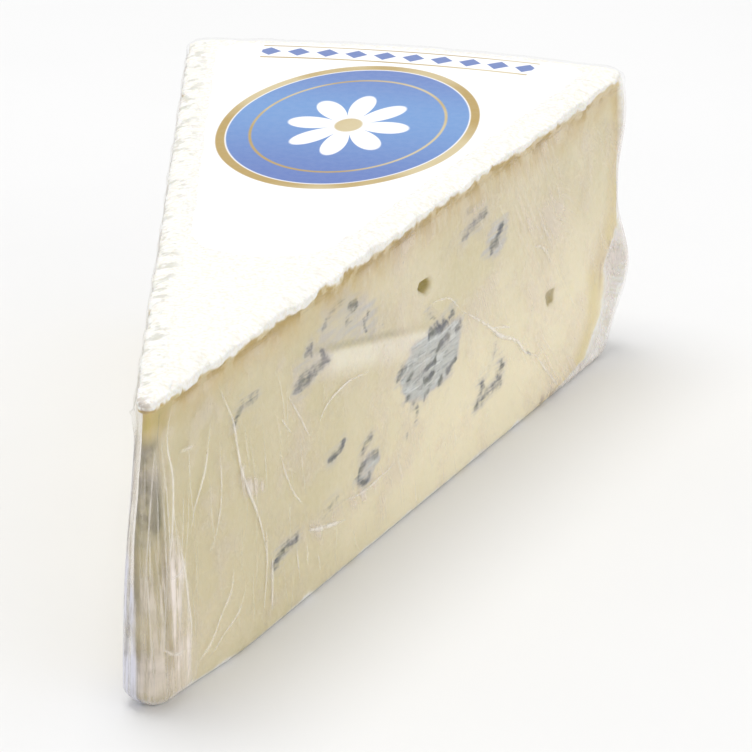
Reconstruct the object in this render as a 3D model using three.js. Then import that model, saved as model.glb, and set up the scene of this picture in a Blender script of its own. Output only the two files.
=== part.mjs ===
import * as THREE from 'three';

// A wedge of blue brie, one fourteenth of a wheel, wrapped tightly in clear film, with a paper label on top.
// Millimetres, +Z up. The blunt point of the wedge looks along -Y and its rind back along +Y.
// Cheese and film are one closed body. The label is a thin plate that lies flat on it.

// ---- Driving dimensions ----
const WHEEL_RADIUS = 130;
const WEDGE_ANGLE_DEG = 360 / 14;
const CHEESE_HEIGHT = 38.5;
const WHEEL_CENTRE_X = -0.35; // the wheel's centre line, where the two cut planes meet
const WHEEL_CENTRE_Y = -66.7;

// Upright edges of the wedge
const NOSE_RADIUS_TOP = 0.9;
const NOSE_RADIUS_FOOT = 2.0;
const BACK_CORNER_RADIUS = 2.2;

// The soft point has slumped: its foot leans to the left by this much, fading out along the cut faces
const NOSE_LEAN = 1.8;
const NOSE_LEAN_START = 3;
const NOSE_LEAN_REACH = 26;

// Lower edges: a crisp one under the cut faces, and the wheel's own round shoulder at the back
const CUT_FOOT_RADIUS = 1.1;
const SHOULDER_DEPTH = 6.5;
const SHOULDER_HEIGHT = 9;
const FOOT_FADE = 2; // relief fades out towards the flat underside over this height

// Upper edges: the rind rim that overhangs the softer paste
const RIM_HEIGHT = 2.0;
const RIM_OVERHANG = 0.4;
const RIM_ROUND = 1.3;
const BACK_ROUND = 1.5;
const TOP_FLAT_SIDE_INSET = 2.2; // the top is flat from this far inside the cut planes and the rind back
const TOP_FLAT_BACK_INSET = 1.7;

// Label
const LABEL_THICKNESS = 0.3;
const LABEL_SIDE_INSET = 2.6;
const LABEL_BACK_INSET = 1.8;
const LABEL_NOSE_RADIUS = 10;
const LABEL_CORNER_RADIUS = 5;

// How finely each stretch of the outline is divided
const SIDE_STEPS = 60;
const CORNER_STEPS = 4;
const BACK_STEPS = 26;
const NOSE_STEPS = 8;
const WALL_ROWS = 13;
const FOOT_ROW_HEIGHTS = [0, 0.35, 1.1, 2.6, 4.4, 6.4];

// Colours as the eye sees them on the whole object
const CHEESE_COLOUR = 0xe3d5a8;
const LABEL_COLOUR = 0xf4f5f7;

const HALF_ANGLE = THREE.MathUtils.degToRad(WEDGE_ANGLE_DEG / 2);
const RIGHT_NORMAL = new THREE.Vector2(Math.cos(HALF_ANGLE), -Math.sin(HALF_ANGLE));
const RIGHT_ALONG = new THREE.Vector2(Math.sin(HALF_ANGLE), Math.cos(HALF_ANGLE));

const { smoothstep, lerp } = THREE.MathUtils;

// ---- Outline of a wedge seen from above ----
// A sector with a round nose and round back corners, drawn in by sideInset and backInset.
// Each point knows its outward normal, the wall it is on, and its run: the distance from the wheel's
// centre along a cut face, or from the middle of the rind back (positive towards +X). It also knows how far
// along its cut face it is from the end of the round nose.
function wedgeOutline({ sideInset = 0, backInset = 0, noseRadius, cornerRadius }) {
  const outerRadius = WHEEL_RADIUS - backInset;
  const across = sideInset + cornerRadius;
  const along = Math.sqrt((outerRadius - cornerRadius) ** 2 - across ** 2);
  const corner = RIGHT_ALONG.clone().multiplyScalar(along).addScaledVector(RIGHT_NORMAL, -across);
  const cornerAngle = Math.atan2(corner.x, corner.y);
  const noseCentre = (sideInset + noseRadius) / Math.sin(HALF_ANGLE);
  const noseRun = noseCentre * Math.cos(HALF_ANGLE);
  const points = [];

  function add(x, y, normalX, normalY, wall, run) {
    const normal = new THREE.Vector2(normalX, normalY);
    points.push({ x, y, normal, wall, run, pastNose: run - noseRun });
  }

  function addCutFace(mirror) {
    for (let i = 0; i < SIDE_STEPS; i += 1) {
      const share = mirror < 0 ? 1 - i / SIDE_STEPS : i / SIDE_STEPS;
      const run = lerp(noseRun, along, share);
      const x = RIGHT_ALONG.x * run - RIGHT_NORMAL.x * sideInset;
      const y = RIGHT_ALONG.y * run - RIGHT_NORMAL.y * sideInset;
      add(mirror * x, y, mirror * RIGHT_NORMAL.x, RIGHT_NORMAL.y, mirror > 0 ? 'right' : 'left', run);
    }
  }

  function addCorner(mirror) {
    for (let i = 0; i < CORNER_STEPS; i += 1) {
      const share = mirror < 0 ? 1 - i / CORNER_STEPS : i / CORNER_STEPS;
      const turn = lerp(Math.PI / 2 + HALF_ANGLE, cornerAngle, share);
      const normalX = Math.sin(turn);
      const normalY = Math.cos(turn);
      const x = corner.x + cornerRadius * normalX;
      const y = corner.y + cornerRadius * normalY;
      add(mirror * x, y, mirror * normalX, normalY, 'back', mirror * outerRadius * cornerAngle);
    }
  }

  addCutFace(1);
  addCorner(1);
  for (let i = 0; i < BACK_STEPS; i += 1) {
    const turn = lerp(cornerAngle, -cornerAngle, i / BACK_STEPS);
    const normalX = Math.sin(turn);
    const normalY = Math.cos(turn);
    add(outerRadius * normalX, outerRadius * normalY, normalX, normalY, 'back', outerRadius * turn);
  }
  addCorner(-1);
  addCutFace(-1);
  for (let i = 0; i < NOSE_STEPS; i += 1) {
    const turn = lerp(-1, 1, i / NOSE_STEPS) * (Math.PI / 2 - HALF_ANGLE);
    const normalX = Math.sin(turn);
    const normalY = -Math.cos(turn);
    add(noseRadius * normalX, noseCentre + noseRadius * normalY, normalX, normalY, 'nose', noseRun);
  }
  return points;
}

// ---- Relief ----
// Waves of unlike lengths that never line up, about -1 to 1 in all
function lumps(distance, phase) {
  return 0.45 * Math.sin(distance / 1.42 + phase)
    + 0.33 * Math.sin(distance / 0.93 + 2.1 * phase)
    + 0.22 * Math.sin(distance / 3.1 + 0.7 * phase);
}

// A round hump or dent: 1 at its middle and nothing beyond its reach
function hump(distance, reach) {
  return 1 - smoothstep(Math.abs(distance), 0, reach);
}

// How the rim differs from wall to wall: where its waves begin, how far they swell it, and how far it sags
const RIM_WALLS = {
  right: { phase: 0.4, lump: 0.3, sag: 0.4 },
  back: { phase: 2.2, lump: 0.12, sag: 0.25 },
  left: { phase: 4.1, lump: 0.15, sag: 0.2 },
  nose: { phase: 0.4, lump: 0.2, sag: 0.4 },
};
const SAG_OFFSET = 20; // the sag's waves are those of the swelling, this much further along

// Hollows in the right cut face, under the film: run and height of the middle, half width, half height, depth
const HOLLOWS = [
  { run: 70, height: 27.9, halfWidth: 3.6, halfHeight: 2.8, depth: 1.3 },
  { run: 110, height: 13.4, halfWidth: 4.6, halfHeight: 3.4, depth: 0.9 },
];

// A ledge where the paste has slumped: it runs down the right cut face, and the paste stands proud below it
const LEDGE_START = { run: 40, height: 30.5 };
const LEDGE_END = { run: 79, height: 21 };
const LEDGE_DEPTH = 0.6;
const LEDGE_EDGE = 1.2; // half the height over which it steps out
const LEDGE_CREST = 1.5; // it stands proud down to here and then fades out as far as its reach
const LEDGE_REACH = 7;

function ledge(run, height) {
  const share = (run - LEDGE_START.run) / (LEDGE_END.run - LEDGE_START.run);
  const below = lerp(LEDGE_START.height, LEDGE_END.height, share) - height;
  const begins = smoothstep(share, -0.1, 0.15);
  const ends = smoothstep(share, 0.8, 1.15);
  const stepsOut = smoothstep(below, -LEDGE_EDGE, LEDGE_EDGE);
  const fades = smoothstep(below, LEDGE_CREST, LEDGE_REACH);
  return begins * (1 - ends) * stepsOut * (1 - fades);
}

// The film stands off the paste round the nose, and falls in upright pleats beside it
const PLEAT_START = 3;
const PLEAT_END = 33;
const PLEAT_DEPTH = 0.3;
const PLEAT_SPACING = 5.2;
const PLEAT_SLANT = 0.05; // radians of a pleat's wave for each millimetre of height
const NOSE_STAND_OFF = 1.0;
const NOSE_STAND_OFF_REACH = 9;
const LEFT_STAND_OFF = 1.2;
const LEFT_STAND_OFF_START = 12;
const LEFT_STAND_OFF_END = 50;
const FILM_MEETS_PASTE_FROM = 0.8 * CHEESE_HEIGHT; // between these heights the film comes back to the paste
const FILM_MEETS_PASTE_BY = 0.93 * CHEESE_HEIGHT;

function filmRelief({ wall, run, pastNose }, height) {
  const low = 1 - smoothstep(height, FILM_MEETS_PASTE_FROM, FILM_MEETS_PASTE_BY);
  if (wall === 'nose') return NOSE_STAND_OFF * low;
  const wave = Math.sin((2 * Math.PI * run) / PLEAT_SPACING + PLEAT_SLANT * height);
  const pleat = PLEAT_DEPTH * wave * (1 - smoothstep(run, PLEAT_START, PLEAT_END));
  const swell = wall === 'left' ? 1 - smoothstep(run, LEFT_STAND_OFF_START, LEFT_STAND_OFF_END) : 0;
  const beside = smoothstep(pastNose, 0, NOSE_STAND_OFF_REACH);
  return low * lerp(NOSE_STAND_OFF, pleat + LEFT_STAND_OFF * swell, beside);
}

// The soft paste belly: it swells a little between the rind above and the rind below
const BELLY = 0.3;

function pasteRelief({ wall, run }, height) {
  let relief = BELLY * Math.sin((Math.PI * height) / (CHEESE_HEIGHT - RIM_HEIGHT));
  if (wall === 'right') {
    relief += LEDGE_DEPTH * ledge(run, height);
    for (const hollow of HOLLOWS) {
      relief -= hollow.depth * hump(run - hollow.run, hollow.halfWidth)
        * hump(height - hollow.height, hollow.halfHeight);
    }
  }
  return relief;
}

// The rind back swells under its upper edge, and low down at its right end, where the film is gathered
const UPPER_SWELL = { height: 33, halfHeight: 9, depth: 0.9 };
const CORNER_BULGE = { run: 27, height: 12, halfWidth: 16, halfHeight: 9, depth: 1.6 };
const RIND_WAVE = { depth: 0.25, runWave: 5.3, runPhase: 1, heightWave: 6.1, heightPhase: 0.5 };

function rindRelief(run, height) {
  const upper = UPPER_SWELL.depth * hump(height - UPPER_SWELL.height, UPPER_SWELL.halfHeight);
  const corner = CORNER_BULGE.depth * hump(run - CORNER_BULGE.run, CORNER_BULGE.halfWidth)
    * hump(height - CORNER_BULGE.height, CORNER_BULGE.halfHeight);
  const along = Math.sin(run / RIND_WAVE.runWave + RIND_WAVE.runPhase);
  const upright = Math.sin(height / RIND_WAVE.heightWave + RIND_WAVE.heightPhase);
  const wave = along * upright * smoothstep(height, FOOT_FADE, SHOULDER_HEIGHT);
  return upper + corner + RIND_WAVE.depth * wave;
}

// ---- Rows of the wedge's skin, from the bottom edge up to the flat of the top ----
function quarterRound(share) {
  return 1 - Math.sqrt(Math.max(0, 1 - (1 - share) ** 2));
}

// The rim: out from under it, up its face, and over its round edge to the flat. Each row gives its depth
// below the top, its share of the edge rounds at the sides and back, and its share of the relief.
const UNDER_RIM = 0.5; // the plain wall ends this far below the rim
const RIM_ROWS = [
  { below: RIM_HEIGHT - 0.1, side: 0, back: 0, rim: 0.8, sag: 0.6, rind: 1 },
  { below: RIM_HEIGHT - 0.7, side: 0, back: 0.03, rim: 1, sag: 0.8, rind: 1 },
  { below: 0.7, side: 0, back: 0.15, rim: 1, sag: 1, rind: 0.9 },
  { below: 0.2, side: 0.4, back: 0.55, rim: 0.7, sag: 1, rind: 0.5 },
  { below: 0, side: 1, back: 1, rim: 0, sag: 0.3, rind: 0 },
];

function skinRows() {
  const rows = [];
  const wallTop = CHEESE_HEIGHT - RIM_HEIGHT - UNDER_RIM;
  for (const height of FOOT_ROW_HEIGHTS) {
    rows.push({
      height,
      sideInset: CUT_FOOT_RADIUS * quarterRound(Math.min(1, height / CUT_FOOT_RADIUS)),
      backInset: SHOULDER_DEPTH * quarterRound(Math.min(1, height / SHOULDER_HEIGHT)),
      rim: 0,
      sag: 0,
      rind: smoothstep(height, 0, FOOT_FADE),
    });
  }
  for (let i = 0; i < WALL_ROWS; i += 1) {
    const height = lerp(SHOULDER_HEIGHT, wallTop, i / (WALL_ROWS - 1));
    rows.push({ height, sideInset: 0, backInset: 0, rim: 0, sag: 0, rind: 1 });
  }
  for (const { below, side, back, rim, sag, rind } of RIM_ROWS) {
    rows.push({
      height: CHEESE_HEIGHT - below,
      sideInset: side * RIM_ROUND,
      backInset: back * BACK_ROUND,
      rim,
      sag,
      rind,
    });
  }
  rows.push({
    height: CHEESE_HEIGHT,
    sideInset: TOP_FLAT_SIDE_INSET,
    backInset: TOP_FLAT_BACK_INSET,
    rim: 0,
    sag: 0,
    rind: 0,
  });
  return rows;
}

function skinPoint(point, row) {
  const { wall, run } = point;
  const { phase, lump, sag } = RIM_WALLS[wall];
  const isWall = row.height < CHEESE_HEIGHT - RIM_HEIGHT;
  const below = isWall ? smoothstep(row.height, 0, FOOT_FADE) : 0;
  const overhang = wall === 'back' ? 0 : RIM_OVERHANG;
  let out = row.rim * (overhang + lump * lumps(run, phase));
  if (wall === 'back') {
    out += row.rind * rindRelief(run, row.height);
  } else {
    out += below * filmRelief(point, row.height);
  }
  if (wall === 'right' || wall === 'left') {
    out += below * pasteRelief(point, row.height);
  }
  const sagged = row.sag * sag * (0.5 + 0.5 * lumps(run + SAG_OFFSET, phase + 1));
  const nearNose = 1 - smoothstep(point.y, NOSE_LEAN_START, NOSE_LEAN_REACH);
  const lean = NOSE_LEAN * (1 - row.height / CHEESE_HEIGHT) * nearNose;
  return new THREE.Vector3(
    point.x + out * point.normal.x - lean,
    point.y + out * point.normal.y,
    row.height - sagged,
  );
}

// ---- Closed bodies from stacked rings ----
function closedStack(rings) {
  const count = rings[0].length;
  const positions = rings.flat().flatMap((point) => [point.x, point.y, point.z]);
  const faces = [];
  for (let level = 0; level + 1 < rings.length; level += 1) {
    for (let i = 0; i < count; i += 1) {
      const next = (i + 1) % count;
      const a = level * count + i;
      const b = level * count + next;
      const c = (level + 1) * count + next;
      const d = (level + 1) * count + i;
      faces.push(a, b, c, a, c, d);
    }
  }
  // Flat ends, each from the outline of its own ring
  const bottom = rings[0].map((point) => new THREE.Vector2(point.x, point.y));
  for (const [a, b, c] of THREE.ShapeUtils.triangulateShape(bottom, [])) {
    faces.push(a, c, b);
  }
  const last = (rings.length - 1) * count;
  const top = rings[rings.length - 1].map((point) => new THREE.Vector2(point.x, point.y));
  for (const [a, b, c] of THREE.ShapeUtils.triangulateShape(top, [])) {
    faces.push(last + a, last + b, last + c);
  }
  const geometry = new THREE.BufferGeometry();
  geometry.setAttribute('position', new THREE.Float32BufferAttribute(positions, 3));
  geometry.setIndex(faces);
  geometry.computeVertexNormals();
  return geometry;
}

// The smallest radius that an inner ring keeps at its nose and back corners
const LEAST_RADIUS = 0.6;

function wedgeGeometry() {
  const rings = skinRows().map((row) => {
    const noseRadius = lerp(NOSE_RADIUS_FOOT, NOSE_RADIUS_TOP, row.height / CHEESE_HEIGHT);
    const outline = wedgeOutline({
      sideInset: row.sideInset,
      backInset: row.backInset,
      noseRadius: Math.max(noseRadius - row.sideInset, LEAST_RADIUS),
      cornerRadius: Math.max(BACK_CORNER_RADIUS - row.sideInset, LEAST_RADIUS),
    });
    return outline.map((point) => skinPoint(point, row));
  });
  return closedStack(rings);
}

function labelGeometry() {
  const outline = wedgeOutline({
    sideInset: LABEL_SIDE_INSET,
    backInset: LABEL_BACK_INSET,
    noseRadius: LABEL_NOSE_RADIUS,
    cornerRadius: LABEL_CORNER_RADIUS,
  });
  const heights = [CHEESE_HEIGHT, CHEESE_HEIGHT + LABEL_THICKNESS];
  return closedStack(heights.map((height) => outline.map(({ x, y }) => new THREE.Vector3(x, y, height))));
}

function namedMesh(name, geometry, colour, roughness) {
  const material = new THREE.MeshStandardMaterial({ color: colour, roughness, metalness: 0 });
  const mesh = new THREE.Mesh(geometry, material);
  mesh.name = name;
  return mesh;
}

const cheeseWedge = new THREE.Group();
cheeseWedge.position.set(WHEEL_CENTRE_X, WHEEL_CENTRE_Y, 0);
cheeseWedge.add(namedMesh('wedge', wedgeGeometry(), CHEESE_COLOUR, 0.35));
cheeseWedge.add(namedMesh('label', labelGeometry(), LABEL_COLOUR, 0.5));

export default cheeseWedge;
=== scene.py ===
import math

import bpy
import numpy as np
from mathutils import Matrix, Vector
from mathutils.geometry import delaunay_2d_cdt


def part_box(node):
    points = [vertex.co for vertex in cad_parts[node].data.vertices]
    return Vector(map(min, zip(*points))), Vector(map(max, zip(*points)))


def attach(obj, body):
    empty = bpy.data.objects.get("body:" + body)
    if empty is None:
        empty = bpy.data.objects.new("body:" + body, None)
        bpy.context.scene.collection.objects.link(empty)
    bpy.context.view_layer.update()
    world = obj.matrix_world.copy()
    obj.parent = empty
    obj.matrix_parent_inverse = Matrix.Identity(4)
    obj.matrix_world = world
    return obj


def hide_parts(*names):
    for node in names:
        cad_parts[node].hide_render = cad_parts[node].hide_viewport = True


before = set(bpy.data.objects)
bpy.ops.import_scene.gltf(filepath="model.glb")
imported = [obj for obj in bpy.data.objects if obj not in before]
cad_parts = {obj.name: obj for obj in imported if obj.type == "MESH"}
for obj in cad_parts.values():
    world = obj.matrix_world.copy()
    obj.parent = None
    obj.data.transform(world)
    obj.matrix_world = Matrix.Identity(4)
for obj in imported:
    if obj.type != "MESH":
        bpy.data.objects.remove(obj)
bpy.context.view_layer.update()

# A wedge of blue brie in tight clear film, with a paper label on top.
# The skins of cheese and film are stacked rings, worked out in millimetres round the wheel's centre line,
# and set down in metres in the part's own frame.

MM = 0.001

# ---- Driving dimensions, as in the solid model, in millimetres ----
WHEEL_RADIUS = 130
HALF_ANGLE = math.pi / 14
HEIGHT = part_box("wedge")[1].z / MM
LABEL_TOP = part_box("label")[1].z / MM
WHEEL_CENTRE = (-0.35, -66.7)
NOSE_RADIUS_TOP, NOSE_RADIUS_FOOT = 0.9, 2.0
BACK_CORNER_RADIUS = 2.2
NOSE_LEAN, NOSE_LEAN_REACH = 1.8, 26
CUT_FOOT_RADIUS = 1.1
SHOULDER_DEPTH, SHOULDER_HEIGHT = 6.5, 9
RIM_HEIGHT, RIM_OVERHANG = 2.0, 0.4
RIM_ROUND, BACK_ROUND = 1.3, 1.5
LABEL_SIDE_INSET, LABEL_BACK_INSET = 2.6, 1.8
LABEL_NOSE_RADIUS, LABEL_CORNER_RADIUS = 10, 5
LEAST_RADIUS = 0.6

NORMAL = np.array([math.cos(HALF_ANGLE), -math.sin(HALF_ANGLE)])  # of the right cut face
ALONG = np.array([math.sin(HALF_ANGLE), math.cos(HALF_ANGLE)])

# Walls of a ring, and what differs between them
RIGHT, BACK, LEFT, NOSE = 0, 1, 2, 3
PHASE = np.array([0.4, 2.2, 4.1, 0.4])
RIM_LUMP = np.array([0.3, 0.12, 0.15, 0.2])
RIM_SAG = np.array([0.4, 0.25, 0.2, 0.4])

# How finely each stretch of a ring is divided
CHEESE_STEPS = {"right": 380, "left": 240, "back": 72, "corner": 6, "nose": 16}
FILM_STEPS = {"right": 250, "left": 140, "back": 64, "corner": 6, "nose": 16}
LABEL_STEPS = {"right": 80, "left": 80, "back": 40, "corner": 10, "nose": 16}


# ---- Small mathematics ----
def smoothstep(value, low, high):
    share = np.clip((value - low) / (high - low), 0, 1)
    return share * share * (3 - 2 * share)


def fading(value, low, high):
    """1 up to the low value and nothing from the high one on."""
    return 1 - smoothstep(value, low, high)


def hump(distance, reach):
    """1 at its middle and nothing beyond its reach."""
    return fading(np.abs(distance), 0, reach)


def lumps(distance, phase):
    """Waves of unlike lengths that never line up, about -1 to 1 in all."""
    return (
        0.45 * np.sin(distance / 1.42 + phase)
        + 0.33 * np.sin(distance / 0.93 + 2.1 * phase)
        + 0.22 * np.sin(distance / 3.1 + 0.7 * phase)
    )


def quarter_round(share):
    return 1 - np.sqrt(np.clip(1 - (1 - np.clip(share, 0, 1)) ** 2, 0, 1))


def smooth_grid(places, seed):
    """Random values, 0 to 1, that change smoothly from one whole-numbered place in space to the next."""
    table = np.random.RandomState(seed).rand(37, 41, 43)
    low = np.floor(places).astype(int)
    share = smoothstep(places - low, 0, 1)
    total = 0
    for corner in np.ndindex(2, 2, 2):
        weight = np.prod(np.where(corner, share, 1 - share), axis=-1)
        at = [(low[..., axis] + corner[axis]) % table.shape[axis] for axis in range(3)]
        total = total + weight * table[tuple(at)]
    return total


TILT = np.array(Matrix.Rotation(0.9, 3, Vector((0.5, 0.7, 0.4))))  # turns the grid so that no row of it shows


def cloud(places, size, seed, octaves=4):
    """Uneven bumps of about the size given and finer ones on them, about -1 to 1."""
    total, most, weight = 0, 0, 1.0
    turned = places / size
    for octave in range(octaves):
        turned = turned @ TILT
        total = total + weight * (2 * smooth_grid(turned, seed + octave) - 1)
        most += weight
        turned, weight = turned * 2, weight * 0.55
    return total / most * 1.7


def distance_to_line(run, height, points):
    """From every point of the face to the nearest point of a line of straight stretches."""
    nearest = np.full(run.shape, 1e9)
    for (x0, y0), (x1, y1) in zip(points, points[1:]):
        dx, dy = x1 - x0, y1 - y0
        share = np.clip(((run - x0) * dx + (height - y0) * dy) / (dx * dx + dy * dy + 1e-9), 0, 1)
        nearest = np.minimum(nearest, np.hypot(run - x0 - share * dx, height - y0 - share * dy))
    return nearest


def inside(run, height, corners):
    """True where a point of the face is inside the outline of the corners."""
    within = np.zeros(run.shape, bool)
    for (x0, y0), (x1, y1) in zip(corners, corners[1:] + corners[:1]):
        if y0 != y1:
            crosses = (y0 > height) != (y1 > height)
            within ^= crosses & (run < (x1 - x0) * (height - y0) / (y1 - y0) + x0)
    return within


def patch(run, height, corners, soft):
    """1 inside an outline, fading to nothing over the soft distance outside it."""
    outside = distance_to_line(run, height, corners + corners[:1])
    return np.where(inside(run, height, corners), 1.0, fading(outside, 0, soft))


# ---- Rings ----
def nose_arc(height, side_inset):
    """Of a ring's round nose: radius, distance of its middle, and the run where the cut face begins."""
    radius = NOSE_RADIUS_FOOT + (NOSE_RADIUS_TOP - NOSE_RADIUS_FOOT) * height / HEIGHT
    radius = np.maximum(radius - side_inset, LEAST_RADIUS)
    centre = (side_inset + radius) / math.sin(HALF_ANGLE)
    return radius, centre, centre * math.cos(HALF_ANGLE)


def wedge_ring(side_inset, back_inset, nose_radius, corner_radius, steps):
    """Columns x, y, normal x, normal y, wall and run of one closed ring, seen from above."""
    outer = WHEEL_RADIUS - back_inset
    across = side_inset + corner_radius
    along = math.sqrt((outer - corner_radius) ** 2 - across**2)
    corner = ALONG * along - NORMAL * across
    corner_angle = math.atan2(corner[0], corner[1])
    nose_centre = (side_inset + nose_radius) / math.sin(HALF_ANGLE)
    nose_run = nose_centre * math.cos(HALF_ANGLE)

    def shares(count, mirror):
        share = np.arange(count) / count
        return share if mirror > 0 else 1 - share

    def columns(x, y, normal_x, normal_y, wall, run):
        return np.stack(np.broadcast_arrays(x, y, normal_x, normal_y, float(wall), run), axis=1)

    def cut_face(mirror, count):
        run = nose_run + (along - nose_run) * shares(count, mirror)
        x = ALONG[0] * run - NORMAL[0] * side_inset
        y = ALONG[1] * run - NORMAL[1] * side_inset
        return columns(mirror * x, y, mirror * NORMAL[0], NORMAL[1], RIGHT if mirror > 0 else LEFT, run)

    def back_corner(mirror):
        start = math.pi / 2 + HALF_ANGLE
        turn = start + (corner_angle - start) * shares(steps["corner"], mirror)
        normal_x, normal_y = np.sin(turn), np.cos(turn)
        x = corner[0] + corner_radius * normal_x
        y = corner[1] + corner_radius * normal_y
        return columns(mirror * x, y, mirror * normal_x, normal_y, BACK, mirror * outer * corner_angle)

    turn = corner_angle * (1 - 2 * shares(steps["back"], 1))
    back = columns(outer * np.sin(turn), outer * np.cos(turn), np.sin(turn), np.cos(turn), BACK, outer * turn)
    turn = (math.pi / 2 - HALF_ANGLE) * (2 * shares(steps["nose"], 1) - 1)
    normal_x, normal_y = np.sin(turn), -np.cos(turn)
    x, y = nose_radius * normal_x, nose_centre + nose_radius * normal_y
    nose = columns(x, y, normal_x, normal_y, NOSE, nose_run)
    right, left = cut_face(1, steps["right"]), cut_face(-1, steps["left"])
    return np.concatenate([right, back_corner(1), back, back_corner(-1), left, nose])


RING_FIELDS = ("x", "y", "normal_x", "normal_y", "wall", "run")
# Of a whole ring: its height, how far it lies inside the sides and the back, and its shares of the rim's
# relief, of the rim's sag and of the relief of the rind back
ROW_FIELDS = ("height", "side", "back", "rim", "sag", "rind")


def cut_foot(height):
    """How far the round lower edge of a cut face lies inside its plane."""
    return CUT_FOOT_RADIUS * quarter_round(height / CUT_FOOT_RADIUS)


def shoulder(height):
    """How far the round lower edge of the back lies inside the wheel's radius."""
    return SHOULDER_DEPTH * quarter_round(height / SHOULDER_HEIGHT)


def foot_and_wall_rows(bottom_insets, wall_count, back_inset):
    """Rows over the flat underside, round the lower edge and up the walls to the rim."""
    rows = [(0, inset, back_inset(0) + inset - 1, 0, 0, 0) for inset in bottom_insets]
    foot = np.linspace(0, 1.3, 7)
    wall = np.linspace(1.6, HEIGHT - RIM_HEIGHT - 0.6, wall_count)
    for height in np.concatenate([foot, wall]):
        rows.append((height, cut_foot(height), back_inset(height), 0, 0, smoothstep(height, 0, 2)))
    return rows


def rim_rows(count):
    """Rows from under the rim to the edge of the flat top: the solid model's rows with finer ones between."""
    known = np.array(
        [
            (HEIGHT - RIM_HEIGHT - 0.35, 0, 0, 0.05, 0, 1),
            (HEIGHT - RIM_HEIGHT + 0.1, 0, 0, 0.8, 0.6, 1),
            (HEIGHT - RIM_HEIGHT + 0.7, 0, 0.03 * BACK_ROUND, 1, 0.8, 1),
            (HEIGHT - 0.7, 0, 0.15 * BACK_ROUND, 1, 1, 0.9),
            (HEIGHT - 0.2, 0.4 * RIM_ROUND, 0.55 * BACK_ROUND, 0.7, 1, 0.5),
            (HEIGHT, RIM_ROUND, BACK_ROUND, 0, 0.3, 0),
            (HEIGHT, RIM_ROUND + 0.9, BACK_ROUND + 0.9, 0, 0, 0),
        ]
    )
    at = np.linspace(0, len(known) - 1, count)
    fields = [np.interp(at, np.arange(len(known)), known[:, k]) for k in range(len(ROW_FIELDS))]
    return list(zip(*fields))


def stacked(rows, steps):
    """Every ring of a skin as arrays with a row for each ring, and the rows' own fields beside them."""
    rings = []
    for height, side, back, *_ in rows:
        nose_radius = nose_arc(height, side)[0]
        corner_radius = max(BACK_CORNER_RADIUS - side, LEAST_RADIUS)
        rings.append(wedge_ring(side, back, nose_radius, corner_radius, steps))
    ring = np.array(rings)
    skin = {name: ring[:, :, i] for i, name in enumerate(RING_FIELDS)}
    skin["wall"] = skin["wall"].astype(int)
    for i, name in enumerate(ROW_FIELDS):
        skin[name] = np.array([row[i] for row in rows])[:, None] * np.ones_like(skin["x"])
    return with_places(skin)


def with_places(skin):
    """Adds what the relief needs: points on a cut face, how far past the nose, and places in space."""
    skin["cut"] = (skin["wall"] == RIGHT) | (skin["wall"] == LEFT)
    skin["past_nose"] = np.where(skin["cut"], skin["run"] - nose_arc(skin["height"], skin["side"])[2], 0)
    skin["place"] = np.stack([skin["x"], skin["y"], skin["height"]], axis=-1)
    return skin


def depth_inside(points):
    """How far inside both cut planes the points are, seen from above."""
    return -(np.abs(points[:, 0]) * NORMAL[0] + points[:, 1] * NORMAL[1])


ROW_STEP = 0.87  # distance between two rows of scattered places, as a share of their spacing
SCATTER = 0.2  # how far a place strays from its row, as a share of the spacing
JOINING_BOW = 0.3


def scattered_inside(ring, inset, spacing, seed):
    """Places scattered evenly over the flat inside of a ring, and the triangles that join both."""
    draw = np.random.RandomState(seed)
    across, along = np.meshgrid(np.arange(-30, 30, spacing), np.arange(0, WHEEL_RADIUS, spacing * ROW_STEP))
    across = across + 0.5 * spacing * (np.arange(len(across)) % 2)[:, None]
    inner = np.stack([across, along], axis=2).reshape(-1, 2)
    inner = inner + draw.uniform(-SCATTER, SCATTER, inner.shape) * spacing
    margin = inset + 0.6 * spacing
    inner = inner[(depth_inside(inner) > margin) & (np.hypot(*inner.T) < WHEEL_RADIUS - margin - 0.4)]
    # The straight sides are bowed a little while they are joined, so that no triangle is made of three points
    # that lie in line
    side = np.column_stack([np.sign(ring[:, 0]) * NORMAL[0], np.full(len(ring), NORMAL[1])])
    bow = JOINING_BOW * np.sin(math.pi * np.clip((np.abs(ring) @ ALONG) / WHEEL_RADIUS, 0, 1))
    known = [Vector(p) for p in np.concatenate([ring + bow[:, None] * side, inner])]
    made = delaunay_2d_cdt(known, [], [list(range(len(ring)))], 1, 1e-6, True)
    known_as = [ids[0] for ids in made[3]]
    return inner, [[known_as[i] for i in face] for face in made[2]]


# ---- Relief that cheese and film share ----
BELLY = 0.3
# Hollows in the right cut face: depth, the soft width of their edges, and their corners as (run, height).
# The last one is a shallow dent that takes no colour
HOLLOWS = (
    (1.2, 0.6, [(68.9, 28.6), (71.4, 28.5), (71.9, 28.0), (70.7, 27.5)]),
    (0.4, 0.6, [(105.9, 15), (108.6, 14.6), (108.4, 13.5), (106.4, 13.7)]),
    (0.35, 1.2, [(107.4, 14.7), (113.4, 13.5), (111.8, 12.6), (107.8, 13.3)]),
)
LEDGE_START, LEDGE_END = (40, 30.5), (79, 21)
LEDGE_DEPTH, LEDGE_REACH = 0.6, 7
PLEAT_START, PLEAT_END, PLEAT_DEPTH, PLEAT_SPACING = 3, 33, 0.3, 5.2
NOSE_STAND_OFF, LEFT_STAND_OFF, LEFT_STAND_OFF_REACH = 1.0, 1.2, 50
PASTE_FOLLOWS = np.array([0.3, 0.55, 0.55, 0.55])  # how much of the stand-off the paste follows, by wall
UPPER_SWELL = (33, 9, 0.9)  # of the back: height, half width and depth
CORNER_BULGE = (27, 12, 16, 9, 1.6)  # run, height, half width, half height and depth


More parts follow.
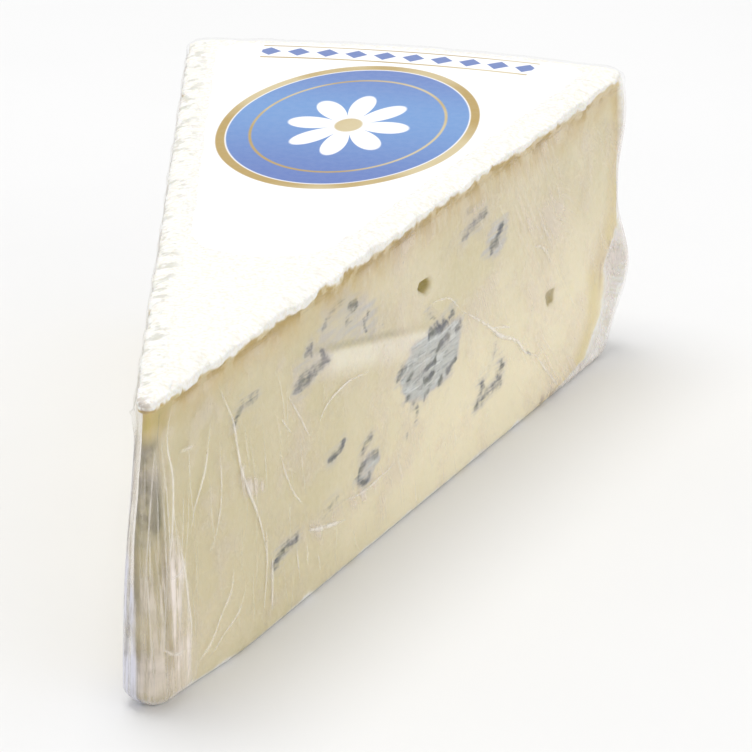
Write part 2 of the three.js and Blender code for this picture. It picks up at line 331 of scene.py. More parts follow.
def along_ledge(run):
    return (run - LEDGE_START[0]) / (LEDGE_END[0] - LEDGE_START[0])


def ledge_depth(run, height):
    """How far below the ledge's edge a point of the right cut face is."""
    return LEDGE_START[1] + (LEDGE_END[1] - LEDGE_START[1]) * along_ledge(run) - height


def ledge_share(run):
    """How much of the ledge there is along its length: it fades out at both ends."""
    share = along_ledge(run)
    return smoothstep(share, -0.1, 0.15) * fading(share, 0.8, 1.15)


def ledge(run, height):
    below = ledge_depth(run, height)
    return ledge_share(run) * smoothstep(below, -0.7, 0.7) * fading(below, 1.5, LEDGE_REACH)


def paste_relief(skin):
    """How far the paste of a cut face stands out, apart from its hollows."""
    relief = BELLY * np.sin(math.pi * skin["height"] / (HEIGHT - RIM_HEIGHT))
    return relief + np.where(skin["wall"] == RIGHT, LEDGE_DEPTH * ledge(skin["run"], skin["height"]), 0)


def film_relief(skin):
    """How far the film stands off at the nose and in pleats beside it, and how far the paste follows."""
    run, height = skin["run"], skin["height"]
    low = fading(height, 0.3 * HEIGHT, 0.93 * HEIGHT)
    near_nose = fading(run, PLEAT_START, PLEAT_END)
    pleat = PLEAT_DEPTH * np.sin(2 * math.pi * run / PLEAT_SPACING + 0.05 * height) * near_nose
    swell = np.where(skin["wall"] == LEFT, LEFT_STAND_OFF * fading(run, 12, LEFT_STAND_OFF_REACH), 0)
    beside = smoothstep(skin["past_nose"], 0, 9)
    stand_off = NOSE_STAND_OFF * (1 - beside)
    share = PASTE_FOLLOWS[skin["wall"]]
    return low * (stand_off + (pleat + swell) * beside), low * share * (stand_off + swell * beside)


def rind_relief(skin):
    """How far the rind back stands out."""
    run, height = skin["run"], skin["height"]
    middle, reach, depth = UPPER_SWELL
    relief = depth * hump(height - middle, reach)
    at_run, at_height, half_width, half_height, bulge = CORNER_BULGE
    relief = relief + bulge * hump(run - at_run, half_width) * hump(height - at_height, half_height)
    wave = np.sin(run / 5.3 + 1) * np.sin(height / 6.1 + 0.5)
    return relief + 0.25 * wave * smoothstep(height, 2, SHOULDER_HEIGHT)


# Where the paste ends and the rind begins on a cut face, near the back: heights and the runs there
RIND_HEIGHTS = (0, 0.9, 1.8, 4, 7, 13.5, 16, 20.5, 28, 38)
RIND_RUNS = (108, 110, 118.6, 120.8, 123.2, 123.6, 127, 129.5, 131, 131.5)


def beyond_paste(run, height):
    """How far past the paste's back edge a point of a cut face is."""
    return run - np.interp(height, RIND_HEIGHTS, RIND_RUNS)


FILM_GAP, LEAST_FILM_GAP = 0.14, 0.05
CRUMB = 0.34  # height of the crumbs along the rind's rim
FILM_WRINKLE = 0.07


def rim_lumps(skin, shift):
    """The rim's long lumps: those of the solid model, made uneven. The shift is along the rim."""
    even = lumps(skin["run"] + shift, PHASE[skin["wall"]])
    return 0.55 * even + 0.75 * cloud(skin["place"] * np.array([1, 1, 0.4]), 5.5, 101 + shift, 2)


def rim_sag(skin):
    """How far the rim sags, most between its lumps."""
    return skin["sag"] * RIM_SAG[skin["wall"]] * (0.5 + 0.5 * rim_lumps(skin, 20))


def rim_relief(skin):
    """The rind's rim: its overhang with long lumps, and the crumbs on it."""
    overhang = np.where(skin["wall"] == BACK, 0, RIM_OVERHANG - 0.04)
    lump = RIM_LUMP[skin["wall"]] * rim_lumps(skin, 0)
    broken = smoothstep(cloud(skin["place"], 8, 3, 2), -0.6, 0.6)
    crumbs = 0.6 * cloud(skin["place"], 2.6, 4, 3) + 0.6 * cloud(skin["place"], 1.1, 5, 3)
    return skin["rim"] * (overhang + lump), crumbs * (0.5 + 0.5 * broken)


def below_rim(height):
    """1 on the walls, and nothing on the rim and at the foot."""
    return np.where(height < HEIGHT - RIM_HEIGHT, smoothstep(height, 0, 2), 0)


def cheese_surface(skin):
    """How far out the cheese lies from its ring on every wall, just under the film."""
    run, height, wall, cut, place = (skin[name] for name in ("run", "height", "wall", "cut", "place"))
    rim, crumbs = rim_relief(skin)
    paste = paste_relief(skin) + film_relief(skin)[1]
    for depth, soft, corners in HOLLOWS:
        paste = paste - np.where(wall == RIGHT, depth * patch(run, height, corners, soft), 0)
    paste = paste + 0.09 * cloud(place, 6, 21) + 0.03 * cloud(place, 1.2, 31, 3)
    drawn_in = (PLEAT_DEPTH + 0.1) * fading(run, PLEAT_START, PLEAT_END) * (wall != BACK)
    turned = 0.7 * smoothstep(beyond_paste(run, height), -0.5, 6) * fading(height, 24, 34)
    turned = turned * (1 + 0.6 * cloud(place, 3.5, 41))
    below = below_rim(height)
    out = rim + skin["rim"] * CRUMB * crumbs
    out = out + np.where(wall == BACK, 0, below * (paste - drawn_in))
    out = out - np.where(cut, below * turned, 0)
    rind = rind_relief(skin) + 0.12 * cloud(place, 4, 43)
    return out + np.where(wall == BACK, skin["rind"] * rind, 0) - FILM_GAP


def film_surface(skin):
    """How far out the film lies from its ring, on every wall: nowhere inside the cheese."""
    run, height, wall, cut = skin["run"], skin["height"], skin["wall"], skin["cut"]
    below = below_rim(height)
    rim = rim_relief(skin)[0] + 0.16 * skin["rim"]
    # Below the rim the film goes straight from the overhang to the paste
    bridge = RIM_OVERHANG * smoothstep(height, HEIGHT - RIM_HEIGHT - 4, HEIGHT - RIM_HEIGHT)
    bridge = np.where((height < HEIGHT - RIM_HEIGHT) & (wall != BACK), bridge, 0)
    drawn = drawn_places(skin) * np.array([1.0, 0.2, 1.0])
    wrinkle = FILM_WRINKLE * cloud(drawn, 2.6, 71, 3)
    paste = np.where(cut, paste_relief(skin), BELLY * (wall == NOSE)) + film_relief(skin)[0] + wrinkle
    loose = 0.3 * smoothstep(beyond_paste(run, height), 0, 4) * cloud(skin["place"], 3.4, 81, 3)
    loose = loose * fading(height, 22, 32)
    out = rim + bridge + below * np.where(wall == BACK, 0, paste + np.where(cut, loose, 0))
    out = out + np.where(wall == BACK, skin["rind"] * (rind_relief(skin) + wrinkle + 0.05), 0)
    return np.maximum(out, cheese_surface(skin) + LEAST_FILM_GAP)


# The film is drawn upright at the nose and more and more aslant along the cut faces: runs and slants there
SLANT_RUNS = (0, 15, 45, 75, 95, 108, 130)
SLANTS = (0.03, 0.10, 0.30, 0.45, 0.80, 0.90, 0.45)
NOSE_SPREAD = 8  # keeps the two sides of the nose apart in the film's pattern


def drawn_places(skin):
    """Coordinates along which the film is drawn: lines of one first value follow its pleats."""
    run, height = skin["run"], skin["height"]
    along = np.where(skin["wall"] == BACK, WHEEL_RADIUS * (1 + HALF_ANGLE) - np.abs(run), run)
    slant = np.interp(run, SLANT_RUNS, SLANTS) * (skin["wall"] != BACK)
    up = height + skin["side"] * (height > HEIGHT / 2)
    return np.stack([along + slant * height, up, NOSE_SPREAD * skin["normal_x"]], axis=-1)


def set_down(skin, out, lift):
    """Places in the part's frame, in millimetres, pushed out and lifted. At the nose the foot goes left."""
    near_nose = fading(skin["y"], 3, NOSE_LEAN_REACH)
    lean = NOSE_LEAN * (1 - skin["height"] / HEIGHT) * near_nose
    x = skin["x"] + out * skin["normal_x"] - lean + WHEEL_CENTRE[0]
    y = skin["y"] + out * skin["normal_y"] + WHEEL_CENTRE[1]
    return np.stack([x, y, skin["height"] + lift], axis=-1)


# ---- Meshes ----
def mesh_object(name, points, faces, fields):
    """A smooth mesh from points in millimetres, with a value or a place for each point from every field."""
    mesh = bpy.data.meshes.new(name)
    mesh.from_pydata((points * MM).tolist(), [], faces)
    for field, values in fields.items():
        kind, slot = ("FLOAT_VECTOR", "vector") if values.ndim == 2 else ("FLOAT", "value")
        layer = mesh.attributes.new(field, kind, "POINT")
        layer.data.foreach_set(slot, values.astype(np.float32).reshape(-1))
    mesh.shade_smooth()
    thing = bpy.data.objects.new(name, mesh)
    bpy.context.scene.collection.objects.link(thing)
    return thing


def flattened(values):
    return values.reshape(-1, 3) if values.ndim == 3 else values.reshape(-1)


def closed_mesh(name, points, fields, inner=None):
    """A closed body from stacked rings, with a flat cap below, and above a cap or the inner points given."""
    levels, count = points.shape[:2]
    level, i = np.meshgrid(np.arange(levels - 1), np.arange(count), indexing="ij")
    after = (i + 1) % count
    low, high = level * count, (level + 1) * count
    faces = np.stack([low + i, low + after, high + after, high + i], axis=2).reshape(-1, 4).tolist()
    faces.append(list(range(count - 1, -1, -1)))
    last = (levels - 1) * count
    points, fields = points.reshape(-1, 3), {name: flattened(values) for name, values in fields.items()}
    if inner is None:
        faces.append(list(range(last, last + count)))
    else:
        inner_points, inner_faces, inner_fields = inner
        points = np.concatenate([points, inner_points])
        faces += [[last + k for k in face] for face in inner_faces]
        for field, values in fields.items():
            blank = np.zeros((len(inner_points),) + values.shape[1:])
            fields[field] = np.concatenate([values, inner_fields.get(field, blank)])
    return mesh_object(name, points, faces, fields)


# ---- Veins ----
# Dark lines of mould in the right cut face: half width, strength, then points as (run, height)
VEINS = (
    (0.35, 0.60, (49, 33.9), (46.8, 33.6), (44.5, 33), (43.5, 32.3)),
    (0.50, 1.00, (52.3, 32.3), (50.9, 32.3)),
    (0.35, 0.60, (50.5, 30.9), (49.5, 30.8)),
    (0.35, 0.65, (55.1, 30), (54.1, 29.4), (54.3, 28.2)),
    (0.30, 0.80, (40, 31.1), (39.8, 30.4)),
    (0.35, 0.90, (42.5, 29.7), (42.1, 29.1)),
    (0.30, 0.40, (58.9, 27.4), (58.8, 27)),
    (0.45, 0.55, (70.9, 24.8), (72, 23.6), (72.8, 23)),
    (0.35, 1.10, (70.1, 22.2), (72.8, 22.1), (75.5, 21.9)),
    (0.45, 0.85, (77, 21.9), (78.2, 22.3)),
    (0.40, 0.90, (78.5, 20), (79.9, 20.5)),
    (0.45, 1.05, (72.6, 19.6), (73.9, 20), (75.7, 20)),
    (0.30, 0.95, (62.6, 19.5), (63.7, 20.1)),
    (0.50, 0.60, (65.1, 19.8), (67.8, 20.3)),
    (0.25, 1.10, (69.6, 17.9), (72.2, 18.1)),
    (0.25, 1.10, (69.8, 16.2), (71.6, 16.5)),
    (0.35, 0.95, (73.5, 14.6), (74.7, 15)),
    (0.30, 1.05, (76.6, 15.4), (78.7, 16.3)),
    (0.35, 0.80, (65, 18.2), (66, 18.5)),
    (0.35, 0.80, (64.3, 15.5), (65.6, 15.9)),
    (0.25, 0.80, (66.9, 14.6), (67.5, 14.8)),
    (0.30, 0.75, (70, 14.6), (71.1, 14.6)),
    (0.35, 0.60, (67, 14.4), (67.8, 13), (67.6, 12.2)),
    (0.40, 0.45, (65, 11.4), (64.6, 10.7)),
    (0.70, 0.80, (86.5, 10.2), (86.7, 9.3), (85.9, 8.2), (84.7, 7.6)),
    (0.70, 0.80, (91.7, 8.5), (89.5, 8.5), (86.8, 8)),
    (0.40, 0.70, (91, 9.6), (91.3, 8.9)),
    (0.40, 0.90, (92.2, 10.8), (92.4, 10.3)),
    (0.30, 0.50, (90.7, 13.9), (90.3, 12.7), (90.1, 11.9)),
    (0.30, 0.40, (88.5, 11.2), (88.1, 10.6)),
    (0.90, 0.90, (37, 27.2), (39.3, 27.9), (42.6, 28.6)),
    (0.35, 0.70, (27.3, 30), (25.6, 30.2), (24, 30.1), (23.3, 29.5), (21.9, 28.7)),
    (0.35, 0.95, (48, 16.3), (46.5, 15.9), (44.4, 15.7)),
    (0.35, 0.70, (55.3, 14.7), (54.1, 14), (52.9, 13.3)),
    (0.50, 0.90, (56.8, 11.7), (55.3, 11.9), (52.9, 11.3), (52.1, 10.5), (53.9, 9.2), (54.8, 9.6)),
    (0.90, 0.45, (46.8, 9.9), (44.9, 9.9), (43.4, 9.4)),
    (0.80, 0.85, (36.1, 9.2), (34.4, 9.1), (32.6, 8.7), (31.1, 8.1)),
    (0.60, 0.80, (80.9, 30.8), (84.1, 31.7), (87.4, 32.1)),
    (0.50, 0.60, (82.5, 33.7), (83.6, 33.6)),
    (0.95, 0.95, (88.9, 26.9), (90.8, 27.5), (92.2, 28.8)),
)
# Pale blue-grey bruises round them: strength, softness, then the corners
BRUISES = (
    (0.95, 1.5, [(63.6, 19.3), (65.9, 21.8), (70, 21.6), (79.2, 20.4),
                 (78.4, 16.5), (76, 15.2), (70.6, 14.7), (65.2, 15.9)]),
    (0.50, 2.5, [(44.3, 34.8), (49.4, 34.3), (56, 30.2), (56, 27.8), (43.5, 31)]),
    (0.45, 1.6, [(36.3, 27.1), (37, 29.7), (41, 30), (43.4, 28.2), (38.6, 26.4)]),
    (0.75, 1.0, [(57.6, 11), (55.3, 12), (52.8, 11.2), (52.4, 10.2), (54.4, 9.4)]),
    (0.55, 1.8, [(87, 26.8), (89.6, 29.3), (93.4, 29.3), (93.4, 27.6), (90.5, 26)]),
    (0.35, 1.8, [(81, 30.5), (83, 33.4), (87.5, 32.6), (86, 31)]),
)
# The like on the left cut face
LEFT_BRUISES = (
    (0.95, 1.5, [(31, 21.5), (34, 24), (40, 23.5), (43, 21), (40, 18), (34, 17.5)]),
    (0.90, 1.3, [(88, 15), (91, 17.5), (97, 18), (100, 15.5), (96, 13), (90, 12.5)]),
    (0.50, 2.0, [(60, 29), (66, 31), (72, 30), (69, 27)]),
)


def scattered_veins(seed, clusters):
    """Veins for a cut face that has none set down: small sheaves of streaks that all rise gently."""
    draw = np.random.RandomState(seed)
    veins = []
    for index in range(clusters):
        middle = (14 + 108 * (index + draw.uniform(0.2, 0.8)) / clusters, draw.uniform(6, 33))
        for _ in range(draw.randint(2, 8)):
            length, slope = draw.uniform(0.6, 4), draw.uniform(-0.05, 0.35)
            x = middle[0] + draw.uniform(-3, 3)
            y = min(max(middle[1] + draw.uniform(-2.5, 2.5), 4), 34)
            line = ((x, y), (x + length, y + slope * length))
            veins.append((draw.uniform(0.3, 0.8), draw.uniform(0.6, 0.95), *line))
    return veins


def mould_fields(skin):
    """How thickly mould grows at each point of the cut faces, and how bruised the paste there is."""
    wall, place = skin["wall"], skin["place"]
    run = skin["run"] + 0.7 * cloud(place, 2.2, 15, 4)
    height = skin["height"] + 0.3 * cloud(place, 1.6, 17, 4)
    mould, bruise = np.zeros(run.shape), np.zeros(run.shape)
    for side, veins in ((RIGHT, VEINS), (LEFT, scattered_veins(14, 11))):
        here = wall == side
        for half_width, strength, *points in veins:
            away = distance_to_line(run, height, points)
            grown = strength * fading(away, 0, half_width + 0.85)
            near = 0.5 * min(strength, 1) * fading(away, 0.5 * half_width, half_width + 2.2)
            mould = np.where(here, np.maximum(mould, grown), mould)
            bruise = np.where(here, np.maximum(bruise, near), bruise)
    for side, bruises in ((RIGHT, BRUISES), (LEFT, LEFT_BRUISES)):
        for strength, soft, corners in bruises:
            here = np.where(wall == side, strength * patch(run, height, corners, soft), 0)
            bruise = np.maximum(bruise, here)
    return mould, bruise


# ---- The cheese ----
CHEESE_BOTTOM_INSETS = (14, 7, 3)
CHEESE_FILL_SPACING, FILM_FILL_SPACING = 0.95, 2.0  # between the points of the flat top
FLAT_INSET = RIM_ROUND + 0.9  # of the flat top's edge
VELVET = 0.07
# Brown spots on rind and film at the right back corner, where they are stained, and brown marks along the
# foot: run, height, reach
BROWN_SPOTS = (
    (131, 15.4, 2.8), (131, 12.8, 2.2), (130, 18.5, 1.6),
    (105, 0.5, 1.8), (108, 0.4, 2.2), (110, 0.5, 1.5),
)
FACE_STEP = 60.0  # keeps the patterns of the walls apart


def top_edge_shade(wall, depth, height):
    """Painted grey-green shade on the white rind where it rounds down at the top's edge: along the left edge,
    and faintly along the right.
    """
    share = np.where(wall == LEFT, 1.0, 0.3)
    return share * fading(depth, 0.8, 3.4) * smoothstep(height, HEIGHT - 2.5, HEIGHT - 1)


def make_cheese():
    def back_inset(height):
        return shoulder(height) + 0.4 * fading(height, 6, 12)

    skin = stacked(foot_and_wall_rows(CHEESE_BOTTOM_INSETS, 94, back_inset) + rim_rows(21), CHEESE_STEPS)
    run, height, wall, cut, place = (skin[name] for name in ("run", "height", "wall", "cut", "place"))
    crumbs = rim_relief(skin)[1]
    velvet = np.where(height > HEIGHT - 0.01, VELVET * cloud(place, 2.6, 11), 0)
    lift = np.where(height <= 0, FILM_GAP, 0) - rim_sag(skin)
    over = smoothstep(skin["side"], 0, 0.6)
    lift = lift + over * (0.1 * skin["rim"] * crumbs - FILM_GAP + velvet)

    # Which skin shows: white rind along the rim, round the back and under the foot, and paste elsewhere
    rim_edge = HEIGHT - 1.35 - 0.6 * rim_lumps(skin, 7) - 0.6 * crumbs
    foot_edge = 0.5 + 0.5 * cloud(place * np.array([1, 1, 0]), 3, 51, 2)
    past = beyond_paste(run, height)
    ragged = past + 1.2 * cloud(place, 3.5, 61)
    rind = smoothstep(height, rim_edge - 0.2, rim_edge + 0.15)
    rind = np.maximum(rind, fading(height, foot_edge - 0.3, foot_edge + 0.3))
    rind = np.maximum(rind, np.where(cut, smoothstep(ragged, -0.4, 0.7), 0))
    rind = np.where(wall == BACK, 1.0, rind)
    hollow, stain = np.zeros(run.shape), np.zeros(run.shape)
    # The hollows' olive colour is partly the paste's own and partly painted shade in them
    for _, soft, corners in HOLLOWS[:2]:
        hollow = np.maximum(hollow, np.where(wall == RIGHT, patch(run, height, corners, 1.1 * soft), 0))
    below_ledge = ledge_depth(run, height)
    on_ledge = np.where(wall == RIGHT, ledge_share(run), 0)
    for at_run, at_height, reach in BROWN_SPOTS:
        away = np.linalg.norm(place - np.array([*(ALONG * at_run), at_height]), axis=-1)
        stain = np.maximum(stain, fading(away, 0, reach))
    mould, bruise = mould_fields(skin)
    tip_place = np.hypot(skin["x"] + 0.9, skin["y"] - 3)
    at_nose, by_nose = (np.where(wall == BACK, 0, fading(skin["past_nose"], 0, reach)) for reach in (2, 9))
    # Painted shade on the nose: an olive strip from mid height up to under the tip, fainter lower down
    olive = at_nose * smoothstep(height, 17, 23) * fading(height, 31.5, 34.2)
    olive = np.maximum(olive, 0.35 * at_nose * fading(height, 17, 23))
    upright = hump(run - 129.3, 0.8) * smoothstep(height, 13, 17) * fading(height, 35, 37)
    # Painted shadow under the rind's tip, on the paste of the nose and just beside it
    under_tip = by_nose * smoothstep(height + 0.8 * cloud(place, 2.5, 121, 3), 32.2, 34.5)
    fields = {
        "place": place,
        "face": np.stack([run, height, FACE_STEP * wall], axis=-1),
        "rind": rind,
        "mould": mould,
        "bruise": bruise,
        "hollow": hollow,
        "ledge_shade": on_ledge * hump(below_ledge + 0.2, 0.5) * fading(run, 60, 68),
        "ledge_light": on_ledge * smoothstep(below_ledge, 0, 0.6) * fading(below_ledge, 1.8, 4.4),
        "stain": stain,
        # Painted shadow in broken patches just under the rim's overhang
        "under_rim": hump(height - rim_edge + 0.6, 1.9) * (1 - rind),
        "tan": hump(height - rim_edge + 0.8, 5.0) * (wall != BACK),
        "ripe": np.where(cut, hump(past + 2.6, 4.2), 0),
        "under_tip": under_tip,
        # Painted shade: the paste darker towards the nose, except low down
        "near": np.where(wall == BACK, 0, fading(run, 12, 75)) * smoothstep(height, 0, 14),
        "edge": np.where(cut, np.maximum(hump(past + 0.6, 1.1) * smoothstep(height, 8, 14), upright), 0),
        # Painted light from the floor: the cut faces lighter low down and towards the back
        "pale": np.where(cut, smoothstep(run, 25, 85) * fading(height, 4, 31), 0),
        "corner": np.where(cut, smoothstep(past, -1, 1) * fading(height, 18, 30), 0),
        # painted shade on the nose
        "olive": olive,
        "tip": 0.7 * hump(tip_place, 2.8) * smoothstep(height, HEIGHT - 3.2, HEIGHT - 1.4),
        "grey": top_edge_shade(wall, skin["side"], height),
    }
    inner, faces = scattered_inside(place[-1, :, :2], FLAT_INSET, CHEESE_FILL_SPACING, 7)
    on_top = np.column_stack([inner, np.full(len(inner), HEIGHT)])
    top = on_top + np.array([*WHEEL_CENTRE, -FILM_GAP])
    top[:, 2] += VELVET * cloud(on_top, 2.6, 11)
    inner_fields = {
        "place": on_top,
        "rind": np.ones(len(inner)),
        "grey": top_edge_shade(np.where(inner[:, 0] < 0, LEFT, RIGHT), depth_inside(inner), HEIGHT),
    }
    points = set_down(skin, cheese_surface(skin), lift)
    return closed_mesh("cheese", points, fields, (top, faces, inner_fields))


# ---- The film ----
FILM_BOTTOM_INSETS = (16, 12, 9, 6.5, 4.5, 3)
FILM_LIFT = 0.08  # of the film above the solid's top
# Milky places of the film over the right cut face: strength, softness, then the corners
VEILS = (
    (0.42, 1.2, (6.5, 20), (10, 16.5), (11.3, 8), (10.6, 1.5), (5, 3), (4, 12)),
    (0.36, 0.8, (22.9, 22.5), (24.5, 20.6), (27.5, 18), (26.1, 18.3), (23.6, 19.6)),
    (0.20, 1.6, (38.5, 9.2), (46, 8), (56.8, 8.4), (52, 7.6), (42.9, 7.4)),
    (0.20, 1.2, (103, 8.3), (109.9, 0.9), (115.8, 0.8), (108, 7)),
    (0.09, 1.5, (55, 36.4), (60.9, 35), (74.5, 34.4), (85.8, 34.1), (97.5, 33.4), (112, 35.4), (128, 36.4)),
    (0.12, 5.0, (98, 30), (106, 32), (112, 24), (104, 20)),
)


def make_film():
    skin = stacked(foot_and_wall_rows(FILM_BOTTOM_INSETS, 84, shoulder) + rim_rows(16), FILM_STEPS)
    run, height, wall, cut, place = (skin[name] for name in ("run", "height", "wall", "cut", "place"))
    lift = FILM_LIFT * smoothstep(skin["side"], 0, 0.6) * (height > HEIGHT / 2) - rim_sag(skin)
    milk = np.zeros(run.shape)
    warped_run = run + 0.8 * cloud(place, 4.5, 111, 3)
    warped_height = height + 0.8 * cloud(place, 4.5, 115, 3)
    for strength, soft, *corners in VEILS:
        veil = strength * patch(warped_run, warped_height, corners, soft)
        milk = np.maximum(milk, np.where(wall == RIGHT, veil, 0))
    behind = 0.25 * smoothstep(beyond_paste(run, height), -0.5, 2.5) * fading(height, 20, 30)
    milk = np.maximum(milk, np.where(cut, behind, 0))
    low = fading(height, 30, 36)
    nose = (0.08 + 0.14 * fading(height, 12, 24)) * fading(skin["past_nose"], 0, 6) * low
    milk = np.maximum(milk, np.where(wall == BACK, 0.12 * (height < HEIGHT - 3), nose))
    # The left of the nose is milkier and cooler
    least = np.interp(height, (0, 14, 20, 36), (0.1, 0.2, 0.7, 0.75))
    turned_left = smoothstep(-skin["normal_x"], least, least + 0.25)
    turned_left = turned_left * fading(skin["past_nose"], 2, 12) * (wall != BACK)
    milk = np.maximum(milk, 0.5 * turned_left * low)
    milk = milk * (1 + 0.7 * np.clip(cloud(place, 3.2, 83, 3), -0.9, 0.9))
    inner, faces = scattered_inside(place[-1, :, :2], FLAT_INSET, FILM_FILL_SPACING, 8)
    share = inner[:, 0] / (inner[:, 1] * math.tan(HALF_ANGLE))
    drawn = np.stack([np.abs(inner) @ ALONG, HEIGHT + depth_inside(inner), NOSE_SPREAD * share], axis=1)
    top = np.column_stack([inner + WHEEL_CENTRE, HEIGHT + FILM_LIFT + 0.02 * cloud(drawn, 4, 75, 2)])
    fields = {
        "drawn": drawn_places(skin),
        "place": place,
        "milk": milk,
        "cool": turned_left,
        "wall_share": fading(height, HEIGHT - 3, HEIGHT - 1.5),
    }
    inner_fields = {"drawn": drawn, "place": np.column_stack([inner, np.full(len(inner), HEIGHT)])}
    return closed_mesh("film", set_down(skin, film_surface(skin), lift), fields, (top, faces, inner_fields))


# ---- Creases in the film ----
# On the right cut face: half width, strength, then points as (run, height)
CREASES = (
    (0.38, 0.46, (79.6, 22), (84.2, 19.4), (88.6, 16.6), (91.5, 14.6),
     (96.5, 12.1), (99.1, 9.7), (103.4, 7.6)),
    (0.34, 0.44, (102, 8.4), (106.1, 4.5), (110.2, 0.9)),
    (0.30, 0.34, (88.6, 16.6), (92, 15.6), (94.4, 14.7)),
    (0.30, 0.30, (89, 15.8), (91.5, 14.4), (94, 13.2)),
    (0.26, 0.30, (96.5, 12.1), (98.3, 10.2), (101.7, 8.5)),
    (0.24, 0.26, (70.8, 25.7), (73.6, 25.4), (76.8, 24.5), (79.6, 22.2)),
    (0.30, 0.30, (21, 11.5), (20.3, 8.5), (17.5, 5.5), (14.8, 2.5)),
    (0.26, 0.28, (23.9, 8.4), (22.4, 6.2), (19.1, 4), (15.8, 2.6)),
    (0.24, 0.26, (17.6, 6), (15.9, 4), (13.1, 2.1)),
    (0.28, 0.32, (16.3, 31.2), (15.7, 28.5), (14.5, 24.4), (12.3, 21.2), (11.2, 19.5)),
    (0.28, 0.30, (18.3, 27.8), (18.7, 22), (18, 18.5), (15.8, 15.5)),
    (0.40, 0.44, (18, 34.6), (21, 29.7), (22, 25.9), (22.9, 22.5), (25, 18.5), (27.7, 13), (28.7, 9)),
    (0.38, 0.44, (7, 35.7), (6.8, 31.3), (7.7, 27.6), (7.2, 22.7), (6.3, 19.3), (4.9, 16.7)),
    (0.34, 0.40, (8.2, 21.5), (9.5, 17), (10.4, 12.6), (11.3, 8.1), (10.5, 2.1)),
    (0.34, 0.40, (3.6, 33), (2.5, 29.8), (1.8, 26.4), (1.1, 21.9), (0.4, 14)),
    (0.40, 0.22, (9.1, 29.9), (13.2, 29.3)),
    (0.36, 0.36, (3.8, 8), (7, 6.8), (11.2, 6)),
    (0.30, 0.34, (5.9, 16.3), (8.5, 16), (10.1, 16.8)),
    (0.34, 0.34, (28.4, 13.6), (28.6, 9), (27.8, 3)),
    (0.44, 0.44, (29.9, 9.4), (30, 2.6)),
    (0.32, 0.30, (35.9, 8.3), (36.9, 3.5)),
    (0.32, 0.28, (38.5, 7.7), (38.8, 4.8)),
    (0.30, 0.26, (41.4, 5.4), (42.1, 2.7)),
    (0.26, 0.30, (31.9, 21.8), (33.2, 18.6), (35.3, 15.1), (37.8, 12.7)),
    (0.28, 0.32, (34.2, 27.5), (37, 23.8), (39.5, 20.4)),
    (0.24, 0.28, (32.3, 25.4), (35.1, 22.4)),
    (0.30, 0.40, (54, 23.4), (48.5, 23.9), (44, 22.9), (41.7, 21.3)),
    (0.44, 0.50, (38.5, 9.2), (42.9, 7.9), (48.6, 6.6)),
    (0.34, 0.34, (47.9, 9.3), (52.5, 8.4), (56.8, 8.5), (61.9, 8.8)),
    (0.34, 0.30, (101, 23.2), (104, 22), (106.6, 19.1)),
    (0.34, 0.24, (103, 25.9), (106.6, 22.1)),
    (0.40, 0.18, (108.1, 29.5), (108.8, 28.1), (109, 26.7)),
)
CREASE_POINTS = 24
CREASE_STRENGTH = 1.6
CREASE_ACROSS = (-1, -0.66, -0.33, 0, 0.33, 0.66, 1)
CREASE_RISE = 0.07  # height of a crease as a share of its half width
CREASE_GAP = 0.015  # between the edges of a crease and the film
FINE_CREASES = (  # wall, count, lowest and highest run, lowest and highest height, length, slant, strength
    (RIGHT, 40, 0.3, 12, 3, 34, 14, 0.03, 0.3),
    (RIGHT, 30, 10, 45, 4, 32, 9, 0.12, 0.16),
    (RIGHT, 24, 44, 80, 3, 11, 5, 0.3, 0.16),
    (RIGHT, 12, 94, 113, 5, 15, 6, 0.85, 0.14),
    (RIGHT, 10, 82, 124, 18, 35, 6, 0.6, 0.08),
    (RIGHT, 10, 118, 128, 5, 20, 4, 0.5, 0.2),
    (LEFT, 44, 0.3, 16, 3, 34, 13, 0.03, 0.3),
    (LEFT, 80, 14, 126, 4, 34, 8, 0.4, 0.18),
    (BACK, 70, -27, 27, 4, 34, 8, -0.1, 0.2),
)


def fine_creases(seed):
    """Creases by chance: wall, half width, strength and points. Most lean away from the nose."""
    draw = np.random.RandomState(seed)
    made = []
    for wall, count, run_low, run_high, low, high, length, slant, strength in FINE_CREASES:
        first, last = (-24, 24) if wall == BACK else (0.3, 129)
        for _ in range(count):
            x, y = draw.uniform(run_low, run_high), draw.uniform(low, high)
            long = length * draw.uniform(0.4, 1.3)
            lean = slant + draw.normal(0, 0.12)
            bend = draw.normal(0, 0.03) * long
            points = [(x, y), (x + 0.5 * lean * long + bend, y - 0.5 * long), (x + lean * long, y - long)]
            points = [(min(max(px, first), last), min(max(py, 1.2), HEIGHT - 2.8)) for px, py in points]
            made.append((wall, draw.uniform(0.12, 0.32), strength * draw.uniform(0.4, 1.1), points))
    return made


def smooth_line(points, count):
    """Points at even steps on a smooth curve through those given."""
    known = np.array(points, float)
    padded = np.concatenate([2 * known[:1] - known[1:2], known, 2 * known[-1:] - known[-2:-1]])
    spans = len(known) - 1
    at = np.linspace(0, spans, count)
    index = np.minimum(at.astype(int), spans - 1)
    t = (at - index)[:, None]
    p0, p1, p2, p3 = (padded[index + k] for k in range(4))
    bent = (2 * p0 - 5 * p1 + 4 * p2 - p3) * t**2 + (3 * p1 - p0 - 3 * p2 + p3) * t**3
    return 0.5 * (2 * p1 + (p2 - p0) * t + bent)


